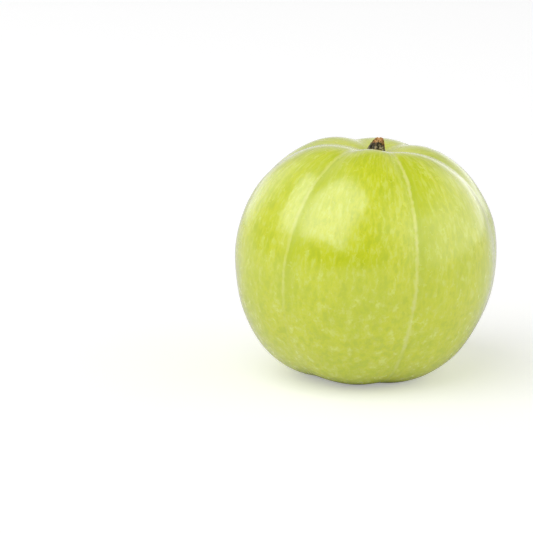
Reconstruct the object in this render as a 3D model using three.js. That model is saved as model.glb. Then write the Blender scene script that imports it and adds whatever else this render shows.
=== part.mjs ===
// Indian gooseberry (amla): one whole picked fruit, standing on its own small flat spot.
// Millimetres, +Z up. The origin is the middle of the flat spot and -Y is the fruit's front.
// Azimuths are degrees round the fruit's axis, from the front (-Y) towards +X.
import * as THREE from "three";

// The body, before its grooves and basin
const GIRTH_RADIUS = 19.35;
const CROWN_HEIGHT = 18.5;
const BASE_DEPTH = 17.9;
const CROWN_FULLNESS = 0.98; // 1 is an ellipse, and less is squarer
const BASE_FULLNESS = 0.64;
const BASE_TILT = 1.6;
const BACK_SWELL = 0.5;
const OVAL_SWELL = 0.24;
const OVAL_AZIMUTH = 135;

// Six shallow grooves run from the stalk to the blossom end
const LOBES = 6;
const FIRST_GROOVE = 19.6;
const GROOVE_AT_CROWN = 0.9;
const GROOVE_AT_GIRTH = 0.4;
const GROOVE_AT_BASE = 0.38;
const GROOVE_FADE_AT_CROWN = 8.2; // the grooves run out over this radius at each end
const GROOVE_FADE_AT_BASE = 3.0;
const GROOVE_SOFTNESS = 0.07;
const END_SOFTNESS = 0.4;
const END_SOFTNESS_RADIUS = 5.0;

// The basin that the stalk stands in, which is steeper at the front and deepest round the stalk,
// and the pit at the blossom end
const BASIN_DEPTH = 2.8;
const BASIN_RADIUS = 6.9;
const BASIN_FRONT_PINCH = 0.29; // the share of that radius that it has lost at the front
const STALK_PIT_DEPTH = 0.5;
const STALK_PIT_RADIUS = 2.6;
const NAVEL_DEPTH = 0.9;
const NAVEL_RADIUS = 1.3;

// How the fruit stands: its axis leans, and its own weight has flattened where it rests
const LEAN_RIGHT = 4.6;
const LEAN_BACK = 0.85;
const BODY_CENTRE = new THREE.Vector3(-1.2, 0.35, 17.47);
const REST_BLEND = 0.1;

// The stalk's broken stub: a ribbed peg that bends towards +X as it rises
const STUB_BASE_RADIUS = 0.95;
const STUB_TIP_RADIUS = 0.48;
const STUB_FULLNESS = 2.2; // 1 is a straight cone, and more bulges between foot and tip
const STUB_HEIGHT = 2.3;
const STUB_BEND = 0.3;
const STUB_SLANT = 0.12; // how far its broken end rises for each millimetre towards +X
const STUB_DOME = 0.12; // how far the middle of that end stands above its rim
const BROAD_RIBS = { count: 5, depth: 0.06, twist: 1 };
const FINE_RIBS = { count: 8, depth: 0.03, twist: 4 };

// What is left of the flower: a low collar, with six dried sepals that clasp the stub
const SEAT_GAP = 0.06;
const DISC_INNER_RADIUS = 1.1;
const DISC_OUTER_RADIUS = 1.38;
const DISC_HEIGHT = 0.22;
const SEPAL_FOOT_RADIUS = 1.24;
const SEPAL_THICKNESS = 0.18;
const SEPAL_FOOT_PINCH = 0.25; // the share of its width that a sepal has lost at its foot
const SEPAL_TIP_THINNING = 0.5; // the share of its thickness that it has lost at its tip
// Each sepal's azimuth, length and width, and its slope outward from upright at foot and at tip
const SEPALS = [
  { azimuth: -78, length: 1.15, width: 0.95, foot: -8, tip: -24 },
  { azimuth: -20, length: 1.2, width: 1.0, foot: -10, tip: -22 },
  { azimuth: 38, length: 1.05, width: 0.95, foot: -8, tip: -24 },
  { azimuth: 94, length: 1.6, width: 0.9, foot: -12, tip: -26 },
  { azimuth: 152, length: 1.9, width: 1.0, foot: -12, tip: -22 },
  { azimuth: 214, length: 1.8, width: 1.05, foot: -13, tip: -22 },
];

// The dried speck in the blossom-end pit
const SCAR_RADIUS = 0.35;
const SCAR_HEIGHT = 0.25;

// Each material's colour and roughness
const SKIN = { color: 0xc5d035, roughness: 0.38 };
const BARK = { color: 0x3d352c, roughness: 0.8 };
const DRIED_DISC = { color: 0x7d6a2a, roughness: 0.7 };
const DRIED_SEPAL = { color: 0xa8642c, roughness: 0.65 };
const DRIED_SCAR = { color: 0x5a3d1e, roughness: 0.8 };

// How finely each surface is divided
const COLUMNS_PER_LOBE = 12;
const CROWN_ROWS = 26;
const BASE_ROWS = 28;
const STUB_SIDES = 16;
const STUB_ROWS = 6;
const DISC_SIDES = 24;
const DISC_ARC_STEPS = 5;
const SEPAL_SIDES = 10;
const SEPAL_STEPS = 8;
const SCAR_SIDES = 12;
const SCAR_ROWS = 3;

const radians = THREE.MathUtils.degToRad;
const mix = THREE.MathUtils.lerp;

function axisPoint(radius, azimuth, height) {
  return new THREE.Vector3(radius * Math.sin(azimuth), -radius * Math.cos(azimuth), height);
}

// 1 at the fruit's axis, falling away over about the reach given.
function nearAxis(radius, reach) {
  return Math.exp(-((radius / reach) ** 2));
}

// 0 in a groove and 1 midway between two. The groove's bottom is rounder near the two ends.
function lobeHeight(radius, azimuth) {
  const softness = GROOVE_SOFTNESS + END_SOFTNESS * nearAxis(radius, END_SOFTNESS_RADIUS);
  const wave = Math.sin(((azimuth - radians(FIRST_GROOVE)) * LOBES) / 2);
  return (Math.hypot(wave, softness) - softness) / (Math.hypot(1, softness) - softness);
}

// The skin in the fruit's own axes: polar is 0 at the stalk and pi at the blossom end.
function skinPoint(polar, azimuth) {
  const ring = Math.sin(polar);
  const lift = Math.cos(polar);
  const crown = (1 + lift) / 2;
  const radius = GIRTH_RADIUS * ring ** mix(BASE_FULLNESS, CROWN_FULLNESS, crown);

  const pole = lift > 0 ? GROOVE_AT_CROWN : GROOVE_AT_BASE;
  const fade = 1 - nearAxis(radius, lift > 0 ? GROOVE_FADE_AT_CROWN : GROOVE_FADE_AT_BASE);
  const groove = mix(GROOVE_AT_GIRTH, pole, lift * lift) * fade * (1 - lobeHeight(radius, azimuth));

  const oval = OVAL_SWELL * Math.cos(2 * (azimuth - radians(OVAL_AZIMUTH)));
  const swell = oval - BACK_SWELL * Math.cos(azimuth);

  const point = axisPoint(radius + (swell - groove) * ring, azimuth, 0);
  point.z = mix(BASE_DEPTH, CROWN_HEIGHT, crown) * lift - groove * lift;
  if (lift > 0) {
    const front = Math.max(Math.cos(azimuth), 0) ** 2;
    point.z -= BASIN_DEPTH * nearAxis(radius, BASIN_RADIUS * (1 - BASIN_FRONT_PINCH * front));
    point.z -= STALK_PIT_DEPTH * nearAxis(radius, STALK_PIT_RADIUS);
  } else {
    point.z += NAVEL_DEPTH * nearAxis(radius, NAVEL_RADIUS);
    point.z += point.x * Math.tan(radians(BASE_TILT)) * lift * lift;
  }
  return point;
}

// Takes a point from the fruit's own axes to where the leaning fruit stands.
const standing = new THREE.Matrix4()
  .makeRotationFromEuler(new THREE.Euler(radians(LEAN_BACK), radians(LEAN_RIGHT), 0, "XYZ"))
  .setPosition(BODY_CENTRE);

// Flattens the skin against the plane it rests on, with a short smooth run-out.
function restOnPlane(point) {
  const over = point.z + REST_BLEND;
  if (point.z < REST_BLEND) point.z = over > 0 ? over ** 2 / (4 * REST_BLEND) : 0;
  return point;
}

// A closed surface of rings between two end points, with ring 0 nearest the first end.
// Seen from the first end, the points of a ring run anticlockwise.
function closedRings(firstEnd, rings, lastEnd) {
  const sides = rings[0].length;
  const points = [firstEnd, ...rings.flat(), lastEnd];
  const last = points.length - 1;
  const at = (ring, side) => 1 + ring * sides + (side % sides);
  const faces = [];
  for (let side = 0; side < sides; side++) {
    faces.push(0, at(0, side), at(0, side + 1));
    for (let ring = 0; ring + 1 < rings.length; ring++) {
      faces.push(at(ring, side), at(ring + 1, side), at(ring + 1, side + 1));
      faces.push(at(ring, side), at(ring + 1, side + 1), at(ring, side + 1));
    }
    faces.push(last, at(rings.length - 1, side + 1), at(rings.length - 1, side));
  }
  const geometry = new THREE.BufferGeometry().setFromPoints(points);
  geometry.setIndex(faces);
  geometry.computeVertexNormals();
  return geometry;
}

function ringOf(sides, pointAt) {
  return Array.from({ length: sides }, (_, side) => pointAt((2 * Math.PI * side) / sides));
}

function namedMesh(name, geometry, look) {
  const mesh = new THREE.Mesh(geometry, new THREE.MeshStandardMaterial({ ...look, metalness: 0 }));
  mesh.name = name;
  return mesh;
}

// The whole fruit's flesh and skin, grown as one piece.
function fruit() {
  const polars = [];
  for (let row = 1; row <= CROWN_ROWS; row++) polars.push(((Math.PI / 2) * row) / CROWN_ROWS);
  for (let row = 1; row < BASE_ROWS; row++) {
    const fromBase = (1 - row / BASE_ROWS) ** (1 / BASE_FULLNESS);
    polars.push(Math.PI - (Math.PI / 2) * fromBase);
  }
  const onSkin = (polar, azimuth) => restOnPlane(skinPoint(polar, azimuth).applyMatrix4(standing));
  const start = radians(FIRST_GROOVE);
  const rings = polars.map((polar) =>
    ringOf(LOBES * COLUMNS_PER_LOBE, (turn) => onSkin(polar, start + turn)),
  );
  const geometry = closedRings(onSkin(0, 0), rings, onSkin(Math.PI, 0));
  return namedMesh("fruit", geometry, SKIN);
}

// The floor of the basin, and how far the skin has risen above it at a radius.
const basinFloor = skinPoint(0, 0).z;
function basinRise(radius) {
  return skinPoint(Math.asin((radius / GIRTH_RADIUS) ** (1 / CROWN_FULLNESS)), 0).z - basinFloor;
}

// Moves a point of the stalk end sideways, more the higher it is above the basin floor.
function bent(point) {
  point.x += STUB_BEND * (point.z / STUB_HEIGHT) ** 2;
  return point;
}

// How far a set of ribs stands out at a turn round the stub, as a share of its radius.
function ribAt({ count, depth, twist }, turn, level) {
  return depth * Math.cos(count * turn + twist * level);
}

// The woody stub, ribbed where it has dried and broken off on a slant.
function stalkStub() {
  const onStub = (level, turn) => {
    const ribs = 1 + ribAt(BROAD_RIBS, turn, level) + ribAt(FINE_RIBS, turn, level);
    const radius = mix(STUB_BASE_RADIUS, STUB_TIP_RADIUS, level ** STUB_FULLNESS);
    const point = axisPoint(radius * ribs, turn, 0);
    const top = STUB_HEIGHT + STUB_SLANT * point.x;
    point.z = SEAT_GAP + mix(basinRise(STUB_BASE_RADIUS), top, level);
    return bent(point);
  };
  const rings = [];
  for (let row = STUB_ROWS; row >= 0; row--) {
    rings.push(ringOf(STUB_SIDES, (turn) => onStub(row / STUB_ROWS, turn)));
  }
  const tip = bent(new THREE.Vector3(0, 0, SEAT_GAP + STUB_HEIGHT + STUB_DOME));
  const foot = new THREE.Vector3(0, 0, SEAT_GAP);
  return namedMesh("stalk_stub", closedRings(tip, rings, foot), BARK);
}

// The flower's dried disc, a low rounded collar that follows the basin floor.
function calyxDisc() {
  const middle = (DISC_INNER_RADIUS + DISC_OUTER_RADIUS) / 2;
  const halfWidth = (DISC_OUTER_RADIUS - DISC_INNER_RADIUS) / 2;
  const onArc = (angle) => {
    const radius = middle + halfWidth * Math.cos(angle);
    const height = basinRise(radius) + SEAT_GAP + DISC_HEIGHT * Math.sin(angle);
    return new THREE.Vector2(radius, height);
  };
  const profile = [onArc(Math.PI)];
  for (let step = 0; step <= DISC_ARC_STEPS; step++) {
    profile.push(onArc((Math.PI * step) / DISC_ARC_STEPS));
  }
  const geometry = new THREE.LatheGeometry(profile, DISC_SIDES);
  geometry.rotateX(Math.PI / 2);
  return namedMesh("calyx_disc", geometry, DRIED_DISC);
}

// A sepal's middle line from foot to tip: radius in x, height in y, and the slope there.
function sepalSpine({ length, foot, tip }) {
  const footHeight = basinRise(SEPAL_FOOT_RADIUS) + DISC_HEIGHT + 2 * SEAT_GAP;
  const place = new THREE.Vector2(SEPAL_FOOT_RADIUS, footHeight);
  const spine = [];
  for (let step = 0; step <= SEPAL_STEPS; step++) {
    const along = step / SEPAL_STEPS;
    const slope = radians(mix(foot, tip, along));
    spine.push({ along, slope, place: place.clone() });
    const onward = new THREE.Vector2(Math.sin(slope), Math.cos(slope));
    place.addScaledVector(onward, length / SEPAL_STEPS);
  }
  return spine;
}

// One dried sepal: a thin scale that stands on the disc and curves round the stub.
function sepal(shape, number) {
  const onSepal = ({ slope, place }, across, through) => {
    const radius = place.x + Math.cos(slope) * through;
    const azimuth = radians(shape.azimuth) + across / place.x;
    return bent(axisPoint(radius, azimuth, place.y - Math.sin(slope) * through));
  };
  const sectionAt = (station) => {
    const { along } = station;
    const pinch = 1 - SEPAL_FOOT_PINCH * (1 - along) ** 2;
    const halfWidth = (shape.width / 2) * Math.sqrt(1 - along ** 3) * pinch;
    const halfThick = (SEPAL_THICKNESS / 2) * (1 - SEPAL_TIP_THINNING * along);
    return ringOf(SEPAL_SIDES, (turn) =>
      onSepal(station, halfWidth * Math.sin(turn), halfThick * Math.cos(turn)),
    );
  };
  const spine = sepalSpine(shape);
  const foot = spine[0];
  const tip = spine[SEPAL_STEPS];
  const rings = spine.slice(0, SEPAL_STEPS).reverse().map(sectionAt);
  const geometry = closedRings(onSepal(tip, 0, 0), rings, onSepal(foot, 0, 0));
  return namedMesh(`sepal_${number}`, geometry, DRIED_SEPAL);
}

// The dried speck that the flower's styles left in the blossom-end pit.
function blossomScar() {
  const top = skinPoint(Math.PI, 0).z - SEAT_GAP;
  const rings = [];
  for (let row = 0; row < SCAR_ROWS; row++) {
    const angle = ((Math.PI / 2) * row) / SCAR_ROWS;
    const height = top - SCAR_HEIGHT * Math.sin(angle);
    rings.push(ringOf(SCAR_SIDES, (turn) => axisPoint(SCAR_RADIUS * Math.cos(angle), turn, height)));
  }
  const bottom = new THREE.Vector3(0, 0, top - SCAR_HEIGHT);
  const geometry = closedRings(new THREE.Vector3(0, 0, top), rings, bottom);
  return namedMesh("blossom_scar", geometry, DRIED_SCAR);
}

const stalkEnd = new THREE.Group();
stalkEnd.position.z = basinFloor;
stalkEnd.add(stalkStub(), calyxDisc());
SEPALS.forEach((shape, index) => stalkEnd.add(sepal(shape, index + 1)));

// What is built in the fruit's own axes leans with it.
const leaning = new THREE.Group();
leaning.applyMatrix4(standing);
leaning.add(stalkEnd, blossomScar());

const gooseberry = new THREE.Group();
gooseberry.add(fruit(), leaning);

export default gooseberry;
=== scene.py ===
"""Indian gooseberry: the fine skin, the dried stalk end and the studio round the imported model.

The fruit's lengths are in millimetres until a mesh is made, and the studio's are in metres.
Azimuths are degrees round the fruit's axis from the front (-Y) towards +X, as in the part's own
source.
"""

import math

import bpy
import numpy as np
from mathutils import Matrix, Vector

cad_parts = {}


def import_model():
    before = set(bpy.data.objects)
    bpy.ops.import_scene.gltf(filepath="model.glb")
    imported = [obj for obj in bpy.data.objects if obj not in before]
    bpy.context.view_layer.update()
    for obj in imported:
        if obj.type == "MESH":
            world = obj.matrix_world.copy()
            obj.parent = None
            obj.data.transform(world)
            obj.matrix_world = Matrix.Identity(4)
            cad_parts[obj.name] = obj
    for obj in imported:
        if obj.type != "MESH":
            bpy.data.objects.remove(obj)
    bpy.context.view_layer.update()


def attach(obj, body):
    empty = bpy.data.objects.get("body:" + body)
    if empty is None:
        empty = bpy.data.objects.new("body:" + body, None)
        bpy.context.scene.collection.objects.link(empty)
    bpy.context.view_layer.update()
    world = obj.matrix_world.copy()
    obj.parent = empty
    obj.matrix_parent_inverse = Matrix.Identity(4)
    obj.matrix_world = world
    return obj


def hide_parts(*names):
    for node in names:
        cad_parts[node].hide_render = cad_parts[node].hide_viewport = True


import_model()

MM = 0.001
UP = np.array([0.0, 0.0, 1.0])
RAMP_SOCKETS = ("From Min", "From Max", "To Min", "To Max")

# The body, its six grooves, its basin and its pit: the same surface as the part's solid
GIRTH_RADIUS = 19.35
CROWN_HEIGHT = 18.5
BASE_DEPTH = 17.9
CROWN_FULLNESS = 0.98
BASE_FULLNESS = 0.64
BASE_TILT = 1.6
BACK_SWELL = 0.5
OVAL_SWELL = 0.24
OVAL_AZIMUTH = 135
LOBES = 6
FIRST_GROOVE = 19.6
GROOVE_AT_CROWN = 0.9
GROOVE_AT_GIRTH = 0.4
GROOVE_AT_BASE = 0.38
GROOVE_FADE_AT_CROWN = 8.2
GROOVE_FADE_AT_BASE = 3.0
GROOVE_SOFTNESS = 0.07
END_SOFTNESS = 0.4
END_SOFTNESS_RADIUS = 5.0
BASIN_DEPTH = 2.8
BASIN_RADIUS = 6.9
BASIN_FRONT_PINCH = 0.29
STALK_PIT_DEPTH = 0.5
STALK_PIT_RADIUS = 2.6
NAVEL_DEPTH = 0.9
NAVEL_RADIUS = 1.3
LEAN_RIGHT = 4.6
LEAN_BACK = 0.85
BODY_CENTRE = (-1.2, 0.35, 17.47)
REST_BLEND = 0.1

# Skin relief too fine for the solid
UNEVENNESS = 0.05
UNEVEN_WAVELENGTH = 8.0
CALM_END_RADIUS = 3.0
SEAM_RIDGE = 0.03
SEAM_HALF_WIDTH = 0.2

# For each groove in turn, how clear its pale seam is, how far down the fruit the seam reaches as
# a share of the way to the blossom end, and how pale the skin is beside it, which is partly paler
# skin and partly a painted reflection along the crest
SEAMS = [
    (1, 0.93, 0.05),
    (0.7, 0.8, 0.4),
    (0.8, 0.9, 0.2),
    (0.4, 0.9, 0.1),
    (0.6, 0.8, 0.2),
    (0.6, 0.75, 0.15),
]
# The last stretch of a seam, over which it fades away
SEAM_FADE = 0.3
# Each vein's degrees past the groove, how many degrees it sways, and how far down it reaches
VEINS = [(-5.5, 5, 0.26), (-14, 8, 0.3), (9, 7, 0.28), (20, 9, 0.32)]

# How finely each piece is divided
COLUMNS_PER_LOBE = 64
CROWN_ROWS = 104
BASE_ROWS = 106
STUB_ROWS = 70
STUB_COLUMNS = 140
SEPAL_STEPS = 60
SEPAL_COLUMNS = 56
DISC_COLUMNS = 160
DISC_SECTION_POINTS = 24
SCAR_ROWS = 24
SCAR_COLUMNS = 64

# The stalk end
STUB_BASE_RADIUS = 0.95
STUB_TIP_RADIUS = 0.48
STUB_FULLNESS = 2.2
STUB_HEIGHT = 2.3
STUB_BEND = 0.3
STUB_SLANT = 0.12
STUB_DOME = 0.12
SEAT_GAP = 0.06
DISC_INNER_RADIUS = 1.1
DISC_OUTER_RADIUS = 1.38
DISC_HEIGHT = 0.22
SEPAL_FOOT_RADIUS = 1.24
SEPAL_THICKNESS = 0.18
SEPAL_FOOT_PINCH = 0.25
SEPAL_TIP_THINNING = 0.5
# Each sepal leans by its slope at the foot and at the tip, in degrees. It has dried anywhere from
# charcoal, rust 0, to orange-brown, rust 1.
SEPALS = [
    {"azimuth": -78, "length": 1.15, "width": 0.95, "foot": -8, "tip": -24, "rust": 0.15},
    {"azimuth": -20, "length": 1.2, "width": 1.0, "foot": -10, "tip": -22, "rust": 0.1},
    {"azimuth": 38, "length": 1.05, "width": 0.95, "foot": -8, "tip": -24, "rust": 0.1},
    {"azimuth": 94, "length": 1.6, "width": 0.9, "foot": -12, "tip": -26, "rust": 0.6},
    {"azimuth": 152, "length": 1.9, "width": 1.0, "foot": -12, "tip": -22, "rust": 1.0},
    {"azimuth": 214, "length": 1.8, "width": 1.05, "foot": -13, "tip": -22, "rust": 0.7},
]
SCAR_RADIUS = 0.35
SCAR_HEIGHT = 0.25

# The stub's bark: ribs, lumps and cracks along it, and splinters at its break. A crack follows
# the line where a random swell is 0, and its widths are levels of that swell, whose heights are
# scaled down so that the cracks run lengthways. Each ring of the break lies at its own share of
# the way from the middle to the rim.
BROAD_RIB = 0.06
BROAD_RIBS = 5
FINE_RIB = 0.03
FINE_RIBS = 8
FINE_RIB_TWIST = 4
BARK_LUMP = 0.05
BARK_LUMP_WAVELENGTH = 0.7
CRACK_DEPTH = 0.09
CRACK_WIDTH = 0.18
CRACK_WAVELENGTH = 0.32
CRACK_HEIGHT_SCALE = 0.45
CRACK_SHADE_WIDTH = 0.2
SPLINTER_HEIGHT = 0.16
SPLINTER_WAVELENGTH = 0.3
BREAK_GRAIN = 0.05
BREAK_GRAIN_WAVELENGTH = 0.25
BREAK_RINGS = np.array([0.15, 0.3, 0.45, 0.6, 0.72, 0.84, 0.93])
# Where the bark has come off below the break: lower on two sides, and lowest on one
BARED_SIDES = 0.2
BARED_SIDE = 0.08

# The relief of the sepals, the disc and the scar
CRINKLE = 0.045
CRINKLE_WAVELENGTH = 0.5
FRILL_ACROSS = 0.1
FRILL_UPWARD = 0.04
FRILL_WAVELENGTH = 0.22
SEPAL_VEIN = 0.012
SEPAL_VEINS_PER_MM = 26
SEPAL_CUPPING = 0.12
DISC_LUMP = 0.03
DISC_LUMP_SIDEWAYS = 0.02
DISC_LUMP_WAVELENGTH = 0.4
SCAR_LUMP = 0.07
SCAR_LUMP_WAVELENGTH = 0.2

# The camera looks a little down on the fruit, which stands right of the picture's middle. Its
# lens and sensor are in millimetres.
CAMERA_LENS = 147.8
CAMERA_SENSOR = 36
CAMERA_CLIP_START = 0.01
CAMERA_CLIP_END = 20
CAMERA_DISTANCE = 0.32
CAMERA_ELEVATION = 13.35
FRUIT_RIGHT_OF_AIM = 0.01455
FRUIT_ABOVE_AIM = 0.00153

# The floor, and how much it glows for the camera alone
FLOOR_HALF_WIDTH = 4.0
FLOOR_GLOW = 0.36

# The room's light, where 1 is white, and its one large softbox
ROOM_LEVEL = 1.46
# Where the room is dimmer: which way, the stretch over which its light fades that way, and the
# share of the light that is left
DIM_SIDES = [
    {"towards": (0, 0, 1), "fade": (0.49, 0.975), "left": 0.24},  # overhead
    {"towards": (0, 1, 0.6), "fade": (0.88, 1.14), "left": 0.43},  # upper back
    {"towards": (1, 0, 0), "fade": (0.3, 0.62), "left": 0.84},  # right
    {"towards": (0.7, 0.7, 0.7), "fade": (0.9, 1.15), "left": 0.72},  # upper back right
    {"towards": (0, -1, 0), "fade": (0.3, 0.98), "left": 0.5},  # behind the camera
    {"towards": (-1, 0, -0.8), "fade": (-0.6, 0.6), "left": 0.72},  # lower left
    {"towards": (-1, -0.8, 0), "fade": (-0.2, 0.8), "left": 0.46},  # front left
]
SOFTBOX_AZIMUTH = -51
SOFTBOX_ELEVATION = 51.5
SOFTBOX_DISTANCE = 2.0
SOFTBOX_WIDTH = 2.38
SOFTBOX_HEIGHT = 2.25
SOFTBOX_RADIANCE = 1.84

# Colours, as linear red, green, blue and opacity
WHITE = (1, 1, 1, 1)
FLOOR_GREY = (0.8, 0.8, 0.8, 1)
SKIN_DEEP = (0.7, 0.79, 0.001, 1)
SKIN_YELLOW = (0.76, 0.83, 0.005, 1)
SKIN_DARK = (0.605, 0.72, 0.001, 1)
SKIN_PALE = (0.83, 0.93, 0.14, 1)
NET_PALE = (0.85, 0.92, 0.16, 1)
SEAM_PALE = (0.89, 0.945, 0.25, 1)
SPOT_PALE = (0.76, 0.81, 0.2, 1)
BASIN_YELLOW = (0.82, 0.9, 0.001, 1)
END_BROWN = (0.32, 0.24, 0.03, 1)
BARK_BLACK = (0.02, 0.016, 0.006, 1)
BARK_BROWN = (0.15, 0.11, 0.045, 1)
BARK_ASH = (0.48, 0.4, 0.24, 1)
BARK_RUST = (0.42, 0.17, 0.035, 1)
BARK_TAN = (0.88, 0.5, 0.22, 1)
DISC_DARK = (0.06, 0.04, 0.012, 1)
DISC_OLIVE = (0.2, 0.15, 0.035, 1)
SEPAL_BROWN = (0.24, 0.1, 0.02, 1)
SEPAL_ORANGE = (0.52, 0.24, 0.06, 1)
SEPAL_TAN = (0.7, 0.42, 0.2, 1)
SEPAL_TIP = (0.2, 0.07, 0.02, 1)


def mix(low, high, share):
    return low + (high - low) * share


def axis_point(radius, azimuth, height):
    """The point at a radius, an azimuth in radians and a height."""
    radius, azimuth, height = np.broadcast_arrays(radius, azimuth, height)
    return np.stack([radius * np.sin(azimuth), -radius * np.cos(azimuth), height], -1)


def bell(distance, reach):
    """1 where the distance is nothing, fading to 0 beyond the reach."""
    return np.exp(-((distance / reach) ** 2))


def lobe_height(radius, azimuth):
    """0 in a groove and 1 midway between two. The groove's bottom is rounder near the ends."""
    softness = GROOVE_SOFTNESS + END_SOFTNESS * bell(radius, END_SOFTNESS_RADIUS)
    wave = np.sin((azimuth - math.radians(FIRST_GROOVE)) * LOBES / 2)
    return (np.hypot(wave, softness) - softness) / (np.hypot(1, softness) - softness)


def skin_point(polar, azimuth):
    """The skin in the fruit's own axes: polar is 0 at the stalk and pi at the blossom end."""
    ring, lift = np.sin(polar), np.cos(polar)
    crown = (1 + lift) / 2
    radius = GIRTH_RADIUS * ring ** mix(BASE_FULLNESS, CROWN_FULLNESS, crown)

    pole = np.where(lift > 0, GROOVE_AT_CROWN, GROOVE_AT_BASE)
    fade = 1 - bell(radius, np.where(lift > 0, GROOVE_FADE_AT_CROWN, GROOVE_FADE_AT_BASE))
    groove = mix(GROOVE_AT_GIRTH, pole, lift**2) * fade * (1 - lobe_height(radius, azimuth))

    oval = OVAL_SWELL * np.cos(2 * (azimuth - math.radians(OVAL_AZIMUTH)))
    swell = oval - BACK_SWELL * np.cos(azimuth)

    point = axis_point(radius + (swell - groove) * ring, azimuth, 0.0 * radius)
    front = np.maximum(np.cos(azimuth), 0) ** 2
    basin = -BASIN_DEPTH * bell(radius, BASIN_RADIUS * (1 - BASIN_FRONT_PINCH * front))
    basin -= STALK_PIT_DEPTH * bell(radius, STALK_PIT_RADIUS)
    navel = NAVEL_DEPTH * bell(radius, NAVEL_RADIUS)
    level = point[..., 0] * math.tan(math.radians(BASE_TILT)) * lift**2
    point[..., 2] = (mix(BASE_DEPTH, CROWN_HEIGHT, crown) - groove) * lift
    point[..., 2] += np.where(lift > 0, basin, navel + level)
    return point


LEAN = np.array(
    Matrix.Rotation(math.radians(LEAN_BACK), 3, "X")
    @ Matrix.Rotation(math.radians(LEAN_RIGHT), 3, "Y")
)
CENTRE = np.array(BODY_CENTRE)


def stand(points):
    """Takes points from the fruit's own axes to where the leaning fruit stands."""
    return points @ LEAN.T + CENTRE


def rest_on_plane(points):
    """Flattens the skin against the plane it rests on, with a short smooth run-out."""
    height = points[..., 2]
    run_out = np.maximum(height + REST_BLEND, 0) ** 2 / (4 * REST_BLEND)
    points[..., 2] = np.where(height < REST_BLEND, run_out, height)
    return points


def unevenness(points, wavelength, seed):
    """A smooth random swell of about -1 to 1, the sum of plane waves in all directions."""
    waves = 24
    rng = np.random.default_rng(seed)
    directions = rng.normal(size=(waves, 3))
    directions /= np.linalg.norm(directions, axis=1, keepdims=True)
    lengths = wavelength * rng.uniform(0.7, 1.5, waves)
    phases = rng.uniform(0, 2 * math.pi, waves)
    total = sum(
        np.sin(points @ d * (2 * math.pi / length) + phase)
        for d, length, phase in zip(directions, lengths, phases)
    )
    return total / math.sqrt(waves)


def ring_turns(sides):
    """Equal steps once round, in radians."""
    return np.arange(sides) * (2 * math.pi / sides)


def add_object(name, data):
    """Puts a mesh, a lamp or a camera into the scene."""
    added = bpy.data.objects.new(name, data)
    bpy.context.scene.collection.objects.link(added)
    return added


def add_mesh(name, points, faces):
    """A smooth mesh in the scene. The points are in metres."""
    mesh = bpy.data.meshes.new(name)
    mesh.from_pydata(np.asarray(points).tolist(), [], [tuple(map(int, face)) for face in faces])
    mesh.shade_smooth()
    return add_object(name, mesh)


def closed_rings(name, first_end, rings, last_end):
    """A closed mesh of rings between two end points, all in millimetres. Seen from the first
    end, the points of a ring run anticlockwise."""
    rings = np.asarray(rings)
    count, sides = rings.shape[:2]
    points = np.vstack([[first_end], rings.reshape(-1, 3), [last_end]]) * MM
    side = np.arange(sides)
    after = (side + 1) % sides
    last = len(points) - 1
    foot = 1 + (count - 1) * sides
    faces = [(0, 1 + a, 1 + b) for a, b in zip(side, after)]
    for ring in range(count - 1):
        upper, lower = 1 + ring * sides, 1 + (ring + 1) * sides
        faces += [(upper + a, lower + a, lower + b, upper + b) for a, b in zip(side, after)]
    faces += [(last, foot + b, foot + a) for a, b in zip(side, after)]
    return add_mesh(name, points, faces)


def point_attribute(piece, name, values):
    """Stores one value, or one vector, for each point, for the material to read."""
    values = np.asarray(values, np.float32)
    kind, field = ("FLOAT", "value") if values.ndim == 1 else ("FLOAT_VECTOR", "vector")
    attribute = piece.data.attributes.new(name, kind, "POINT")
    attribute.data.foreach_set(field, values.ravel())


# --- Materials: noise over a place is scaled per metre, and a bump's distance is in metres ---


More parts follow.
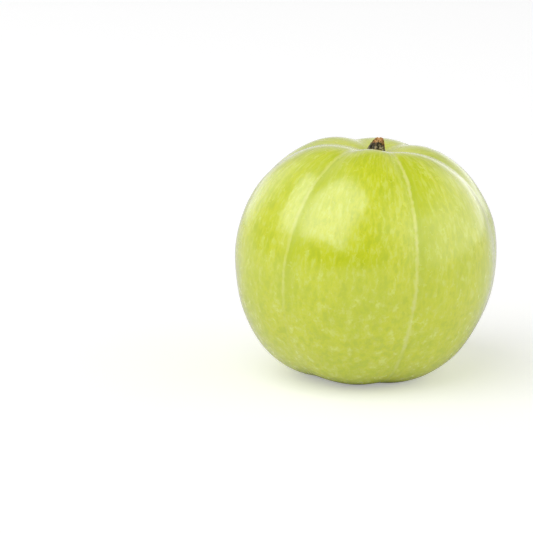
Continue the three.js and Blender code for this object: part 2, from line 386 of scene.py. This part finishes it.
class Nodes:
    """A short way to write the node tree of a material or of the world."""

    def __init__(self, owner, shader="Principled BSDF"):
        owner.use_nodes = True
        self.owner = owner
        self.tree = owner.node_tree
        self.shader = self.tree.nodes[shader]

    def link(self, value, socket):
        if isinstance(value, bpy.types.NodeSocket):
            self.tree.links.new(value, socket)
        else:
            socket.default_value = value

    def attribute(self, name, output="Fac"):
        node = self.tree.nodes.new("ShaderNodeAttribute")
        node.attribute_name = name
        return node.outputs[output]

    def coordinates(self, kind):
        return self.tree.nodes.new("ShaderNodeTexCoord").outputs[kind]

    def seen(self):
        """1 where the camera looks straight at it, and 0 for all other light."""
        return self.tree.nodes.new("ShaderNodeLightPath").outputs["Is Camera Ray"]

    def math(self, operation, first, second=0.0):
        node = self.tree.nodes.new("ShaderNodeMath")
        node.operation = operation
        self.link(first, node.inputs[0])
        self.link(second, node.inputs[1])
        return node.outputs[0]

    def product(self, first, *others):
        for other in others:
            first = self.math("MULTIPLY", first, other)
        return first

    def vector_math(self, operation, first, second, output="Vector"):
        node = self.tree.nodes.new("ShaderNodeVectorMath")
        node.operation = operation
        self.link(first, node.inputs[0])
        self.link(second, node.inputs[1])
        return node.outputs[output]

    def scaled(self, vector, factors):
        return self.vector_math("MULTIPLY", vector, factors)

    def split(self, vector):
        node = self.tree.nodes.new("ShaderNodeSeparateXYZ")
        self.link(vector, node.inputs[0])
        return node.outputs

    def mix(self, share, first, second):
        """Mixes two numbers."""
        node = self.tree.nodes.new("ShaderNodeMix")
        self.link(share, node.inputs["Factor"])
        self.link(first, node.inputs["A"])
        self.link(second, node.inputs["B"])
        return node.outputs["Result"]

    def noise(self, vector, scale, detail=2.0, roughness=0.5):
        node = self.tree.nodes.new("ShaderNodeTexNoise")
        self.link(vector, node.inputs["Vector"])
        node.inputs["Scale"].default_value = scale
        node.inputs["Detail"].default_value = detail
        node.inputs["Roughness"].default_value = roughness
        return node.outputs["Fac"]

    def cells(self, vector, scale):
        """The distance to the nearest of many scattered points."""
        node = self.tree.nodes.new("ShaderNodeTexVoronoi")
        self.link(vector, node.inputs["Vector"])
        node.inputs["Scale"].default_value = scale
        return node.outputs["Distance"]

    def ramp(self, value, low, high, to_low, to_high):
        """Goes smoothly from to_low to to_high as the value goes from low to high."""
        node = self.tree.nodes.new("ShaderNodeMapRange")
        node.interpolation_type = "SMOOTHSTEP"
        self.link(value, node.inputs["Value"])
        for socket, number in zip(RAMP_SOCKETS, (low, high, to_low, to_high)):
            node.inputs[socket].default_value = number
        return node.outputs["Result"]

    def rise(self, value, low, high, top=1):
        """Goes smoothly up from 0 to the top."""
        return self.ramp(value, low, high, 0, top)

    def fall(self, value, low, high, top=1):
        """Goes smoothly down from the top to 0."""
        return self.ramp(value, low, high, top, 0)

    def blend(self, share, first, second):
        """Mixes two colours."""
        node = self.tree.nodes.new("ShaderNodeMix")
        node.data_type = "RGBA"
        self.link(share, node.inputs["Factor"])
        colour_a = [s for s in node.inputs if s.name == "A" and s.type == "RGBA"][0]
        colour_b = [s for s in node.inputs if s.name == "B" and s.type == "RGBA"][0]
        self.link(first, colour_a)
        self.link(second, colour_b)
        return [s for s in node.outputs if s.type == "RGBA"][0]

    def bump(self, height, distance):
        node = self.tree.nodes.new("ShaderNodeBump")
        node.inputs["Strength"].default_value = 1.0
        node.inputs["Distance"].default_value = distance
        self.link(height, node.inputs["Height"])
        self.link(node.outputs["Normal"], self.shader.inputs["Normal"])

    def set(self, **sockets):
        for name, value in sockets.items():
            self.link(value, self.shader.inputs[name.replace("_", " ")])


def material_nodes(name):
    """The nodes of a new material."""
    return Nodes(bpy.data.materials.new(name))


def skin_material():
    """Yellow-green skin: mottled, with pale seams in its grooves, under a waxy gloss."""
    m = material_nodes("fruit_skin")
    place = m.coordinates("Object")
    down = m.attribute("down")
    # Noise over this runs in strokes down the fruit
    streak = m.attribute("streak", "Vector")
    lobe_x, lobe_y, radius = m.split(m.attribute("lobe", "Vector"))
    turn = m.math("DIVIDE", m.math("ARCTAN2", lobe_y, lobe_x), LOBES)
    wander = m.noise(m.scaled(streak, (1, 1, 0.8)), scale=6, detail=6, roughness=0.65)
    wander = m.math("SUBTRACT", wander, 0.5)

    def line_gap(angle, sway):
        """Millimetres round the skin from a line at an angle past the nearest groove, which sways
        to either side. Both are in degrees."""
        offset = m.math("SUBTRACT", turn, math.radians(angle))
        offset = m.math("ADD", offset, m.math("MULTIPLY", wander, math.radians(sway)))
        return m.math("ABSOLUTE", m.math("MULTIPLY", offset, radius))

    # Broad bands and patches of yellower and greener skin
    bands = m.noise(m.scaled(streak, (1, 1, 0.5)), scale=8)
    patches = m.noise(place, scale=150, detail=3)
    tone = m.mix(0.5, bands, patches)
    green = m.blend(m.rise(tone, 0.42, 0.58), SKIN_DEEP, SKIN_YELLOW)

    # Mottling: deep green flecks between short pale dashes, and a loose net nearer the base
    dashes = m.noise(m.scaled(streak, (1, 1, 1.3)), scale=25, detail=4, roughness=0.65)
    net = m.noise(place, scale=800, detail=4, roughness=0.65)
    low = m.product(m.ramp(down, 0.35, 0.7, 0.1, 0.9), m.ramp(down, 0.8, 0.95, 1, 0.3))
    fleck = m.mix(low, dashes, net)
    green = m.blend(m.fall(fleck, 0.39, 0.5, 0.75), green, SKIN_DARK)
    pale = m.blend(low, SKIN_PALE, NET_PALE)
    green = m.blend(m.rise(fleck, 0.49, 0.63, 0.74), green, pale)

    # Fine pale strokes, mostly nearer the base, and small pale dots
    strokes = m.math("ABSOLUTE", m.math("SUBTRACT", m.noise(place, scale=620), 0.5))
    strokes = m.fall(strokes, 0, 0.06, 0.28)
    green = m.blend(m.product(strokes, low, m.rise(dashes, 0.45, 0.55)), green, NET_PALE)
    dots = m.fall(m.cells(place, scale=800), 0.06, 0.34, 0.3)
    green = m.blend(m.product(dots, m.rise(fleck, 0.46, 0.6)), green, NET_PALE)

    # Deeper green on one side of each seam, strongest towards the crown
    seam_gap = line_gap(angle=0, sway=3)
    near_band = m.fall(line_gap(angle=1.8, sway=3), 0.2, 1.1, 0.85)
    wide_band = m.fall(line_gap(angle=3.6, sway=3), 0.6, 2.6, 0.45)
    beside = m.product(m.math("MAXIMUM", near_band, wide_band), m.rise(down, 0.1, 0.18))
    beside = m.product(beside, m.fall(down, 0.38, 0.65), m.rise(seam_gap, 0.15, 0.35))
    green = m.blend(beside, green, SKIN_DARK)

    # A pale band on its other side: partly paler skin, partly a painted reflection along the crest
    shoulder_and_reflection = m.product(m.fall(line_gap(angle=-3, sway=7), 0, 2.4), m.attribute("shoulder_and_reflection"))
    shoulder_and_reflection = m.product(shoulder_and_reflection, m.rise(down, 0.14, 0.26), m.fall(down, 0.45, 0.75))
    shoulder_and_reflection = m.product(shoulder_and_reflection, m.ramp(fleck, 0.4, 0.58, 0.6, 1))
    green = m.blend(shoulder_and_reflection, green, SEAM_PALE)

    # The beaded seam at the bottom of each groove. Its gaps close towards the crown.
    gaps = m.noise(m.scaled(streak, (1, 1, 1.4)), scale=24, detail=4, roughness=0.6)
    broken = m.mix(low, m.ramp(gaps, 0.3, 0.6, 0.65, 1), m.ramp(gaps, 0.36, 0.54, 0.45, 1))
    broken = m.math("MAXIMUM", broken, m.fall(down, 0.22, 0.36, 0.95))
    beads = m.math("SUBTRACT", m.noise(place, scale=1300, detail=3, roughness=0.6), 0.5)
    beaded_gap = m.math("ADD", seam_gap, m.math("MULTIPLY", beads, 0.7))
    seam = m.product(m.fall(beaded_gap, 0, 0.42, 0.95), m.attribute("clear"), broken)
    green = m.blend(seam, green, SEAM_PALE)

    # Thin veins beside the seams, down from the crown
    for angle, sway, end in VEINS:
        vein = m.fall(line_gap(angle, sway), 0.02, 0.2, 0.3)
        vein = m.product(vein, m.fall(down, 0.1, end), broken)
        green = m.blend(vein, green, SEAM_PALE)

    # A few soft pale spots
    spots = m.fall(m.cells(place, scale=170), 0.03, 0.14, 0.3)
    green = m.blend(m.product(spots, m.rise(patches, 0.45, 0.55)), green, SPOT_PALE)

    # The basin's yellow floor, and browner skin within a millimetre and a half of the axis at both
    # ends, where the skin meets the dried disc and scar
    basin = m.product(m.fall(radius, 3, 8.5, 0.7), m.fall(down, 0.3, 0.5))
    green = m.blend(basin, green, BASIN_YELLOW)
    green = m.blend(m.fall(radius, 1.25, 1.6, 0.6), green, END_BROWN)

    m.set(
        Base_Color=green,
        Roughness=m.ramp(net, 0.3, 0.7, 0.2, 0.28),
        IOR=1.5,
        Specular_IOR_Level=0.9,
        Coat_Weight=1.0,
        Coat_Roughness=0.145,
        Subsurface_Weight=0.4,
        Subsurface_Radius=(1.0, 0.9, 0.25),
        Subsurface_Scale=0.003,
    )
    pores = m.noise(place, scale=2600)
    m.bump(m.mix(0.5, pores, fleck), distance=0.00005)
    return m.owner


def bark_material():
    """Charcoal bark with painted shade, black, in its cracks; ash-grey and brown on its ribs, tan
    at the break.
    """
    m = material_nodes("stalk_wood")
    place = m.coordinates("Object")
    grain = m.noise(m.scaled(place, (1, 1, 0.4)), scale=2400, detail=4, roughness=0.65)
    body = m.blend(m.rise(grain, 0.42, 0.6), BARK_BLACK, BARK_BROWN)
    ash = m.noise(place, scale=2700, detail=3, roughness=0.6)
    body = m.blend(m.rise(ash, 0.5, 0.62, 0.85), body, BARK_ASH)
    ragged = m.math("MULTIPLY", m.noise(place, scale=1500), 0.5)
    upward = m.math("ADD", m.attribute("along"), ragged)
    tan = m.blend(m.rise(ash, 0.4, 0.62), BARK_RUST, BARK_TAN)
    body = m.blend(m.rise(upward, 1.03, 1.12, 0.92), body, tan)
    # Painted shade: the bark goes black along its cracks
    body = m.blend(m.math("MULTIPLY", m.attribute("crack_shade"), 0.8), body, BARK_BLACK)
    m.set(Base_Color=body, Roughness=m.ramp(ash, 0.3, 0.7, 0.6, 0.85))
    m.bump(m.math("ADD", grain, m.math("MULTIPLY", ash, 0.5)), distance=0.00008)
    return m.owner


def disc_material():
    """The dried disc: olive-brown, darker in its hollows."""
    m = material_nodes("calyx")
    grain = m.noise(m.coordinates("Object"), scale=2600, detail=3, roughness=0.6)
    body = m.blend(m.rise(grain, 0.38, 0.62), DISC_DARK, DISC_OLIVE)
    m.set(Base_Color=body, Roughness=m.ramp(grain, 0.3, 0.7, 0.5, 0.75))
    m.bump(grain, distance=0.00006)
    return m.owner


def sepal_material():
    """Dried sepal: from charcoal to orange-brown as its rust says, redder at the tip."""
    m = material_nodes("dried_sepal")
    place = m.coordinates("Object")
    along = m.attribute("along")
    grain = m.noise(m.scaled(place, (1, 1, 0.4)), scale=2400, detail=4, roughness=0.6)
    dark = m.blend(m.rise(grain, 0.42, 0.6), BARK_BLACK, BARK_BROWN)
    ash = m.noise(place, scale=2700, detail=3, roughness=0.6)
    dark = m.blend(m.rise(ash, 0.49, 0.6, 0.85), dark, BARK_ASH)
    rusty = m.blend(m.rise(grain, 0.38, 0.62), SEPAL_BROWN, SEPAL_ORANGE)
    rusty = m.blend(m.rise(ash, 0.54, 0.64, 0.7), rusty, SEPAL_TAN)
    blotch = m.math("MULTIPLY", m.math("SUBTRACT", m.noise(place, scale=1100), 0.5), 0.8)
    share = m.math("ADD", m.math("MULTIPLY", m.attribute("rust"), 1.1), blotch)
    share = m.math("ADD", share, m.ramp(along, 0, 0.75, -0.55, 0))
    body = m.blend(m.rise(share, 0.3, 0.6), dark, rusty)
    body = m.blend(m.rise(along, 0.86, 1, 0.7), body, SEPAL_TIP)
    m.set(Base_Color=body, Roughness=m.ramp(grain, 0.3, 0.7, 0.5, 0.8))
    m.bump(m.math("ADD", grain, m.math("MULTIPLY", ash, 0.4)), distance=0.00006)
    return m.owner


# --- Pieces ---


def fruit_skin():
    """The whole fruit's skin, on the same surface as its solid, with finer relief."""
    crown_polars = np.linspace(0, math.pi / 2, CROWN_ROWS + 1)[1:]
    from_base = (1 - np.arange(1, BASE_ROWS) / BASE_ROWS) ** (1 / BASE_FULLNESS)
    polars = np.concatenate([crown_polars, math.pi - math.pi / 2 * from_base])
    turns = math.radians(FIRST_GROOVE) + ring_turns(LOBES * COLUMNS_PER_LOBE)
    polar, turn = np.meshgrid(polars, turns, indexing="ij")
    polar = np.concatenate([[0.0], polar.ravel(), [math.pi]])
    turn = np.concatenate([[0.0], turn.ravel(), [0.0]])

    own = skin_point(polar, turn)
    radius = np.hypot(own[:, 0], own[:, 1])
    lobe_angle = 2 * math.pi / LOBES
    past_groove = np.mod(turn - math.radians(FIRST_GROOVE), lobe_angle)
    seam_gap = np.minimum(past_groove, lobe_angle - past_groove) * radius

    outward = own / np.linalg.norm(own, axis=1, keepdims=True)
    calm_ends = 1 - bell(radius, CALM_END_RADIUS)
    relief = UNEVENNESS * unevenness(own, UNEVEN_WAVELENGTH, seed=4)
    relief += SEAM_RIDGE * bell(seam_gap, SEAM_HALF_WIDTH)
    own += outward * (relief * calm_ends)[:, None]

    points = rest_on_plane(stand(own))
    rings = points[1:-1].reshape(len(polars), len(turns), 3)
    piece = closed_rings("fruit_skin", points[0], rings, points[-1])

    down = polar / math.pi
    lobe_turn = LOBES * past_groove
    nearest = np.mod(np.rint((turn - math.radians(FIRST_GROOVE)) / lobe_angle), LOBES).astype(int)
    strength, reach, shoulder_and_reflection = np.array(SEAMS)[nearest].T
    # How far down the fruit a point is, alone and with its direction round the fruit
    point_attribute(piece, "down", down)
    point_attribute(piece, "streak", np.stack([np.sin(turn), np.cos(turn), down], -1))
    # Its turn from groove to groove, as a direction, with its radius. Then its seam's looks.
    point_attribute(piece, "lobe", np.stack([np.cos(lobe_turn), np.sin(lobe_turn), radius], -1))
    point_attribute(piece, "clear", strength * np.clip((reach - down) / SEAM_FADE, 0, 1))
    # The pale band beside each seam, partly a painted reflection along the crest
    point_attribute(piece, "shoulder_and_reflection", shoulder_and_reflection)
    return dressed(piece, skin_material(), "fruit")


BASIN_FLOOR = float(skin_point(np.array(0.0), np.array(0.0))[2])


def basin_rise(radius):
    """How far the skin has risen above the basin's floor at a radius."""
    polar = np.arcsin((radius / GIRTH_RADIUS) ** (1 / CROWN_FULLNESS))
    return skin_point(polar, np.zeros_like(polar))[..., 2] - BASIN_FLOOR


def bent(points):
    """Moves points of the stalk end sideways, more the higher they are."""
    points = np.array(points, float)
    points[..., 0] += STUB_BEND * (points[..., 2] / STUB_HEIGHT) ** 2
    return points


def at_stalk_end(points):
    """Takes points above the basin's floor to where the leaning fruit holds them."""
    return stand(bent(points) + BASIN_FLOOR * UP)


def dressed(piece, material, node):
    """Gives a piece its material, and lets it stand for its solid."""
    piece.data.materials.append(material)
    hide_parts(node)
    return piece


def stalk_stub(material):
    """The woody stub: ribbed, cracked bark with a splintered, slanting break."""
    levels = np.linspace(0, 1, STUB_ROWS)
    turns = ring_turns(STUB_COLUMNS)
    level, turn = np.meshgrid(levels, turns, indexing="ij")
    ribs = 1 + BROAD_RIB * np.cos(BROAD_RIBS * turn + level)
    ribs += FINE_RIB * np.cos(FINE_RIBS * turn + FINE_RIB_TWIST * level)
    smooth_radius = mix(STUB_BASE_RADIUS, STUB_TIP_RADIUS, level**STUB_FULLNESS)
    around = axis_point(smooth_radius, turn, level * STUB_HEIGHT)
    lumps = unevenness(around, BARK_LUMP_WAVELENGTH, seed=11)
    cracks = np.abs(unevenness(around * (1, 1, CRACK_HEIGHT_SCALE), CRACK_WAVELENGTH, seed=14))
    radius = smooth_radius * ribs + BARK_LUMP * lumps
    radius -= CRACK_DEPTH * bell(cracks, CRACK_WIDTH)
    points = axis_point(radius, turn, 0.0)
    splinters = SPLINTER_HEIGHT * unevenness(points, SPLINTER_WAVELENGTH, seed=12) * level**5
    top = STUB_HEIGHT + STUB_SLANT * points[..., 0]
    foot_rise = basin_rise(np.array(STUB_BASE_RADIUS))
    points[..., 2] = SEAT_GAP + mix(foot_rise, top, level) + splinters

    tip = np.array([0, 0, SEAT_GAP + STUB_HEIGHT + STUB_DOME])
    break_rings = []
    for share in BREAK_RINGS:
        ring = tip + (points[-1] - tip) * (share, share, share**3)
        grain = BREAK_GRAIN * unevenness(ring, BREAK_GRAIN_WAVELENGTH, seed=13)
        break_rings.append(ring + UP * grain[:, None])
    rings = at_stalk_end(np.concatenate([break_rings, points[::-1]]))
    foot = at_stalk_end([0, 0, SEAT_GAP])
    piece = closed_rings("stalk_stub_bark", at_stalk_end(tip), rings, foot)

    on_break = np.ones(len(BREAK_RINGS) * STUB_COLUMNS)
    # Painted shade along the cracks, which the material darkens to black
    crack_shade = bell(cracks, CRACK_SHADE_WIDTH)[::-1].ravel()
    bared = level + BARED_SIDES * np.sin(turn) ** 2 + BARED_SIDE * np.sin(turn)
    point_attribute(piece, "along", np.concatenate([[1], on_break, bared[::-1].ravel(), [0]]))
    point_attribute(piece, "crack_shade", np.concatenate([[0], 0 * on_break, crack_shade, [0]]))
    return dressed(piece, material, "stalk_stub")


def sepal(shape, number, material):
    """A dried sepal: a thin, crinkled scale that stands on the disc and curves round the stub."""
    along = np.arange(SEPAL_STEPS + 1) / SEPAL_STEPS
    slope = np.radians(mix(shape["foot"], shape["tip"], along))
    stride = shape["length"] / SEPAL_STEPS
    start = basin_rise(np.array(SEPAL_FOOT_RADIUS)) + DISC_HEIGHT + 2 * SEAT_GAP
    inward = np.concatenate([[0], np.cumsum(np.sin(slope[:-1])) * stride])
    spine_radius = SEPAL_FOOT_RADIUS + inward
    spine_height = start + np.concatenate([[0], np.cumsum(np.cos(slope[:-1])) * stride])
    pinch = 1 - SEPAL_FOOT_PINCH * (1 - along) ** 2
    half_width = shape["width"] / 2 * np.sqrt(1 - along**3) * pinch
    half_thick = SEPAL_THICKNESS / 2 * (1 - SEPAL_TIP_THINNING * along)

    turn = ring_turns(SEPAL_COLUMNS)
    across = half_width[:, None] * np.sin(turn)
    through = half_thick[:, None] * np.cos(turn)
    flat = np.stack(np.broadcast_arrays(across, 0.0, shape["length"] * along[:, None]), -1)
    crinkle = unevenness(flat, CRINKLE_WAVELENGTH, seed=20 + number)
    frill = unevenness(flat, FRILL_WAVELENGTH, seed=30 + number)
    near_edge = np.abs(np.sin(turn)) ** 4
    veins = np.cos(across * SEPAL_VEINS_PER_MM) * np.maximum(np.cos(turn), 0)
    through += CRINKLE * crinkle * along[:, None]
    through += SEPAL_VEIN * veins * np.sqrt(1 - along)[:, None]
    through -= SEPAL_CUPPING * (across / shape["width"]) ** 2 * along[:, None]
    across *= 1 + FRILL_ACROSS * near_edge * frill

    radius = spine_radius[:, None] + np.cos(slope)[:, None] * through
    height = spine_height[:, None] - np.sin(slope)[:, None] * through
    azimuth = math.radians(shape["azimuth"]) + across / spine_radius[:, None]
    height += FRILL_UPWARD * frill * near_edge
    points = at_stalk_end(axis_point(radius, azimuth, height))
    tip, foot = points[-1].mean(axis=0), points[0].mean(axis=0)
    piece = closed_rings(f"sepal_{number}_scale", tip, points[:-1][::-1], foot)

    rising = np.repeat(along[:-1][::-1], len(turn))
    point_attribute(piece, "along", np.concatenate([[1], rising, [0]]))
    point_attribute(piece, "rust", np.full(len(rising) + 2, shape["rust"]))
    return dressed(piece, material, f"sepal_{number}")


def calyx_disc(material):
    """The flower's dried disc: a low, lumpy collar that follows the basin's floor."""
    middle = (DISC_INNER_RADIUS + DISC_OUTER_RADIUS) / 2
    half_width = (DISC_OUTER_RADIUS - DISC_INNER_RADIUS) / 2
    section = ring_turns(DISC_SECTION_POINTS)
    turn, around = np.meshgrid(ring_turns(DISC_COLUMNS), section, indexing="ij")
    upper = np.maximum(np.sin(around), 0)
    radius = middle + half_width * np.cos(around)
    points = axis_point(radius, turn, basin_rise(radius) + SEAT_GAP + DISC_HEIGHT * upper)
    lumps = upper * unevenness(points, DISC_LUMP_WAVELENGTH, seed=31)
    points += UP * (DISC_LUMP * lumps)[..., None]
    points[..., :2] *= 1 + DISC_LUMP_SIDEWAYS * lumps[..., None]
    points = at_stalk_end(points).reshape(-1, 3) * MM
    faces = []
    for i in range(DISC_COLUMNS):
        ahead = (i + 1) % DISC_COLUMNS
        for j in range(DISC_SECTION_POINTS):
            up = (j + 1) % DISC_SECTION_POINTS
            corners = ((i, j), (ahead, j), (ahead, up), (i, up))
            faces.append(tuple(a * DISC_SECTION_POINTS + b for a, b in corners))
    piece = add_mesh("calyx_disc_collar", points, faces)
    return dressed(piece, material, "calyx_disc")


def blossom_scar(material):
    """The dried speck in the pit at the blossom end."""
    top = float(skin_point(np.array(math.pi), np.array(0.0))[2]) - SEAT_GAP
    angles = np.arange(SCAR_ROWS) * (math.pi / 2 / SCAR_ROWS)
    angle, turn = np.meshgrid(angles, ring_turns(SCAR_COLUMNS), indexing="ij")
    points = axis_point(SCAR_RADIUS * np.cos(angle), turn, top - SCAR_HEIGHT * np.sin(angle))
    lumps = unevenness(points, SCAR_LUMP_WAVELENGTH, seed=41)
    points[..., :2] *= 1 + SCAR_LUMP * lumps[..., None]
    ends = stand(np.array([[0, 0, top], [0, 0, top - SCAR_HEIGHT]]))
    piece = closed_rings("blossom_scar_speck", ends[0], stand(points), ends[1])
    point_attribute(piece, "along", np.concatenate([[0], np.sin(angle).ravel(), [1]]))
    return dressed(piece, material, "blossom_scar")


# --- Studio ---


def floor():
    """A wide pale floor. Its glow is for the camera's eye alone, so shadows stay."""
    half = FLOOR_HALF_WIDTH
    corners = [(-half, -half, 0), (half, -half, 0), (half, half, 0), (-half, half, 0)]
    piece = add_mesh("floor", corners, [(0, 1, 2, 3)])
    m = material_nodes("floor")
    m.set(Base_Color=FLOOR_GREY, Roughness=0.9, Specular_IOR_Level=0.0)
    m.set(Emission_Color=WHITE, Emission_Strength=m.math("MULTIPLY", m.seen(), FLOOR_GLOW))
    piece.data.materials.append(m.owner)


def world():
    """A soft room whose light fades towards each of DIM_SIDES. The camera itself sees it white."""
    m = Nodes(bpy.data.worlds.new("room"), shader="Background")
    direction = m.coordinates("Generated")
    fades = []
    for side in DIM_SIDES:
        towards = m.vector_math("DOT_PRODUCT", direction, side["towards"], output="Value")
        fades.append(m.ramp(towards, *side["fade"], 1, side["left"]))
    # The ramp's curve lowers the dim levels further
    room = m.ramp(m.product(*fades), 0, 1, 0, ROOM_LEVEL)
    m.set(Color=WHITE, Strength=m.mix(m.seen(), room, 1.0))
    bpy.context.scene.world = m.owner


def softbox():
    """The large lamp at the upper left, facing the fruit's middle."""
    light = bpy.data.lights.new("softbox", "AREA")
    light.shape = "RECTANGLE"
    light.size, light.size_y = SOFTBOX_WIDTH, SOFTBOX_HEIGHT
    light.energy = SOFTBOX_RADIANCE * math.pi * SOFTBOX_WIDTH * SOFTBOX_HEIGHT
    turn, rise = math.radians(SOFTBOX_AZIMUTH), math.radians(SOFTBOX_ELEVATION)
    level = math.cos(rise)
    away = Vector((math.sin(turn) * level, -math.cos(turn) * level, math.sin(rise)))
    lamp = add_object("softbox", light)
    lamp.location = Vector(CENTRE * MM) + away * SOFTBOX_DISTANCE
    lamp.rotation_mode = "QUATERNION"
    lamp.rotation_quaternion = away.to_track_quat("Z", "Y")


def camera():
    """Looks along +Y and down, with the fruit right of the picture's middle."""
    optics = bpy.data.cameras.new("camera")
    optics.lens = CAMERA_LENS
    optics.sensor_width = CAMERA_SENSOR
    optics.clip_start, optics.clip_end = CAMERA_CLIP_START, CAMERA_CLIP_END
    tilt = math.radians(CAMERA_ELEVATION)
    right = Vector((1, 0, 0))
    forward = Vector((0, math.cos(tilt), -math.sin(tilt)))
    up = Vector((0, math.sin(tilt), math.cos(tilt)))
    aim = Vector(CENTRE * MM) - right * FRUIT_RIGHT_OF_AIM - up * FRUIT_ABOVE_AIM
    eye = add_object("camera", optics)
    eye.location = aim - forward * CAMERA_DISTANCE
    eye.rotation_euler = (math.pi / 2 - tilt, 0, 0)
    bpy.context.scene.camera = eye


bark = bark_material()
pieces = [fruit_skin(), stalk_stub(bark), calyx_disc(disc_material()), blossom_scar(bark)]
dried = sepal_material()
pieces += [sepal(shape, number, dried) for number, shape in enumerate(SEPALS, 1)]
for piece in pieces:
    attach(piece, "root")

floor()
world()
softbox()
camera()
bpy.context.scene.view_settings.view_transform = "Standard"
